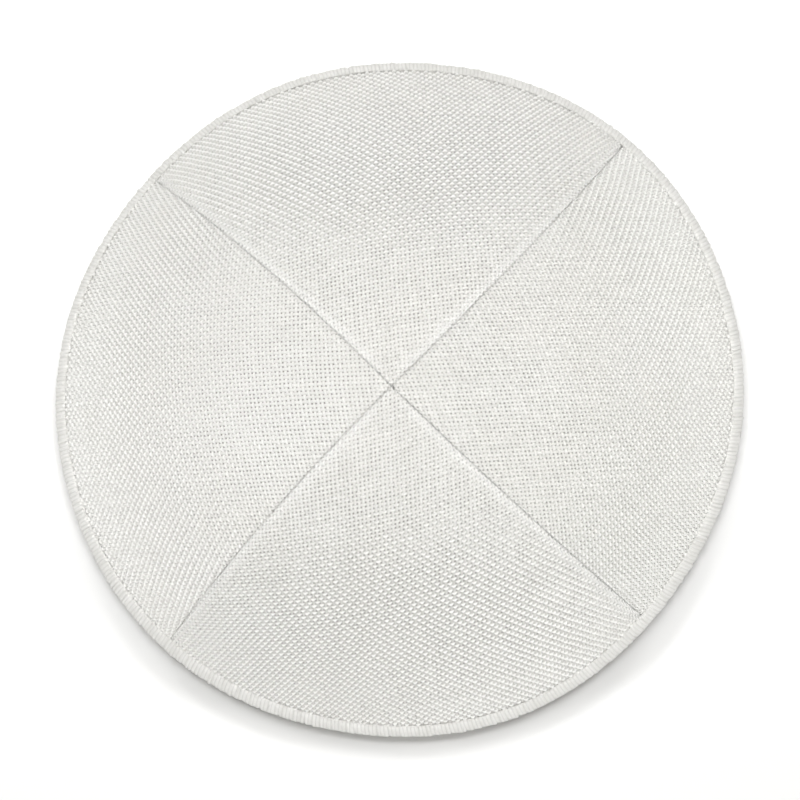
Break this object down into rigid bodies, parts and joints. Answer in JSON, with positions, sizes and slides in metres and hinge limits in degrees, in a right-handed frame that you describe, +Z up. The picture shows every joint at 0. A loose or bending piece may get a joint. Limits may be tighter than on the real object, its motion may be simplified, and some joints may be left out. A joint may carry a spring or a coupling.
{
  "type": "kippah skullcap",
  "caption": "Round skullcap of curved woven-cloth panels sewn into a shallow dome, with an overlocked thread edge that it rests on.",
  "frame": {"origin": "on the surface that the hat rests on, under the middle of its rim", "axes": "+Z up through the tip, -Y towards the middle of the front panel, +X towards the middle of the right panel"},
  "size_m": [0.1725, 0.1691, 0.0524],
  "materials": {
    "cloth": "coarse slubby off-white plain weave, matt",
    "thread": "soft off-white spun thread, slight sheen"
  },
  "bodies": {
    "root": {"panel_front": "cloth", "panel_right": "cloth", "panel_back": "cloth", "panel_left": "cloth", "edge_binding": "thread"}
  },
  "joints": []
}
